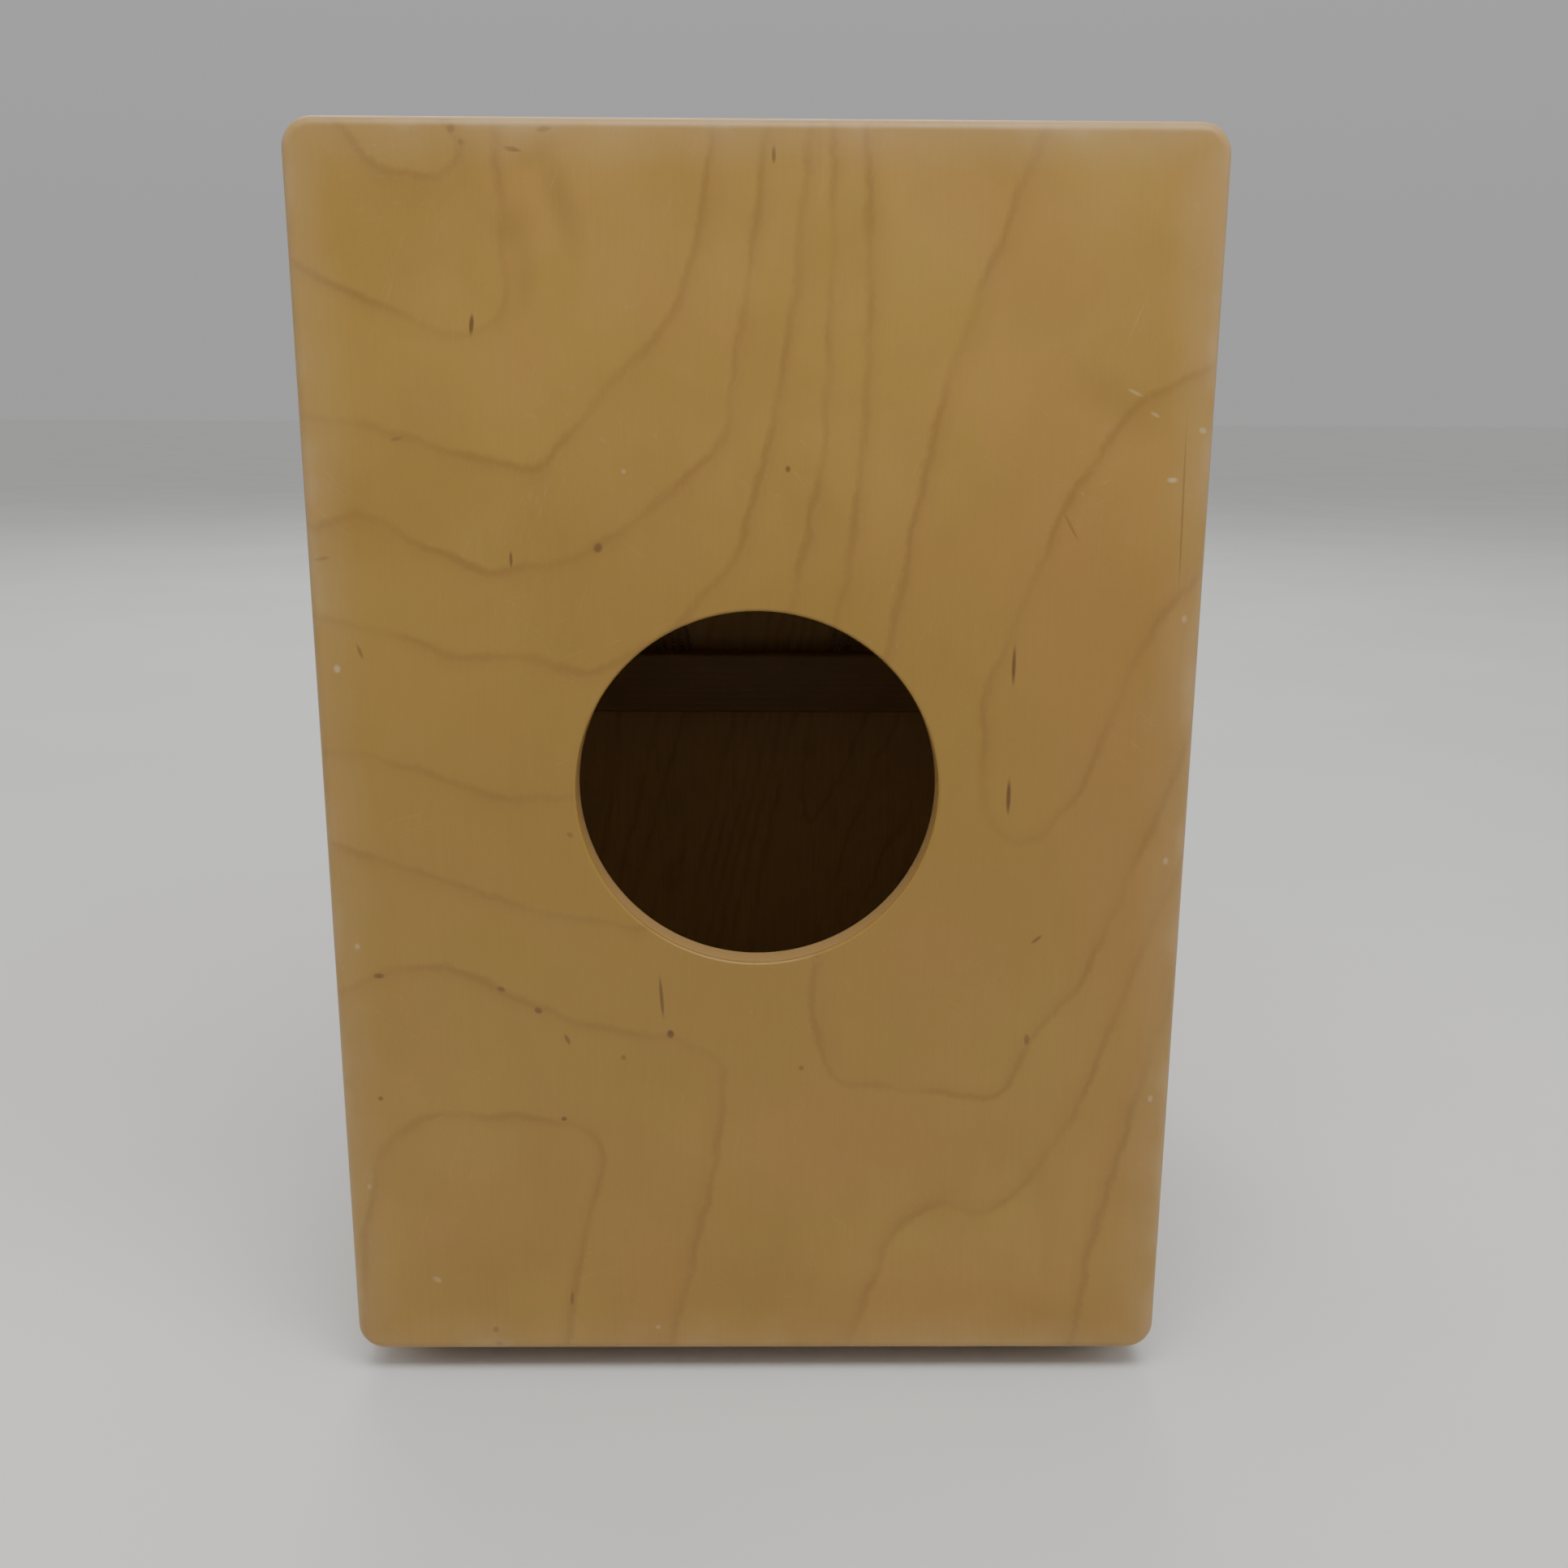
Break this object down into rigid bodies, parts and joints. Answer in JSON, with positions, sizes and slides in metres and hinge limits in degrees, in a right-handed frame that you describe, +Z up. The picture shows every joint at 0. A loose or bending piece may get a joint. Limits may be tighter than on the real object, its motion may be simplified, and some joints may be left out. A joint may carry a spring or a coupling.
{
  "type": "cajon",
  "caption": "Upright plywood box drum with a round rear sound hole, a screwed-on playing plate, rubber feet and an adjustable inner snare bar.",
  "frame": {"origin": "on the floor under the middle of the drum, at the bottom centre of its bounding box", "axes": "+Z up along the drum's height; the playing plate (tapa) faces -Y and the rear panel with the sound hole faces +Y; +X is the left hand of a player seated on the drum"},
  "size_m": [0.3, 0.3, 0.445],
  "materials": {
    "birch_plywood": "clear satin lacquer over birch veneer",
    "tapa_plywood": "clear satin lacquer over birch veneer",
    "softwood": "bare planed softwood",
    "bar_wood": "bare planed beech",
    "rubber": "matt moulded rubber",
    "screw_steel": "zinc-plated steel",
    "snare_steel": "bright steel wire and plate",
    "nylon": "natural nylon"
  },
  "bodies": {
    "box": {"seat_panel": "birch_plywood", "base_panel": "birch_plywood", "left_side_panel": "birch_plywood", "right_side_panel": "birch_plywood", "rear_panel": "birch_plywood", "tapa": "tapa_plywood", "glue_block_top_left": "softwood", "glue_block_top_right": "softwood", "glue_block_bottom_left": "softwood", "glue_block_bottom_right": "softwood", "tapa_screw_01": "screw_steel", "tapa_screw_02": "screw_steel", "tapa_screw_03": "screw_steel", "tapa_screw_04": "screw_steel", "tapa_screw_05": "screw_steel", "tapa_screw_06": "screw_steel", "tapa_screw_07": "screw_steel", "tapa_screw_08": "screw_steel", "tapa_screw_09": "screw_steel", "tapa_screw_10": "screw_steel", "tapa_screw_11": "screw_steel", "tapa_screw_12": "screw_steel", "tapa_screw_13": "screw_steel", "tapa_screw_14": "screw_steel", "rubber_foot_1": "rubber", "rubber_foot_2": "rubber", "rubber_foot_3": "rubber", "rubber_foot_4": "rubber", "foot_screw_1": "screw_steel", "foot_screw_2": "screw_steel", "foot_screw_3": "screw_steel", "foot_screw_4": "screw_steel", "pivot_screw_left": "screw_steel", "pivot_screw_right": "screw_steel", "bar_washer_left": "nylon", "bar_washer_right": "nylon"},
    "snare_unit": {"snare_bar": "bar_wood", "snare_fan_left": "snare_steel", "snare_fan_right": "snare_steel", "plate_screw_left_1": "screw_steel", "plate_screw_left_2": "screw_steel", "plate_screw_right_1": "screw_steel", "plate_screw_right_2": "screw_steel"}
  },
  "joints": [
    {"name": "snare_bar_turn", "type": "hinge", "parent": "box", "child": "snare_unit", "pos_m": [0, -0.12641, 0.218], "axis": [-1, 0, 0], "range_deg": [0, 15]}
  ]
}
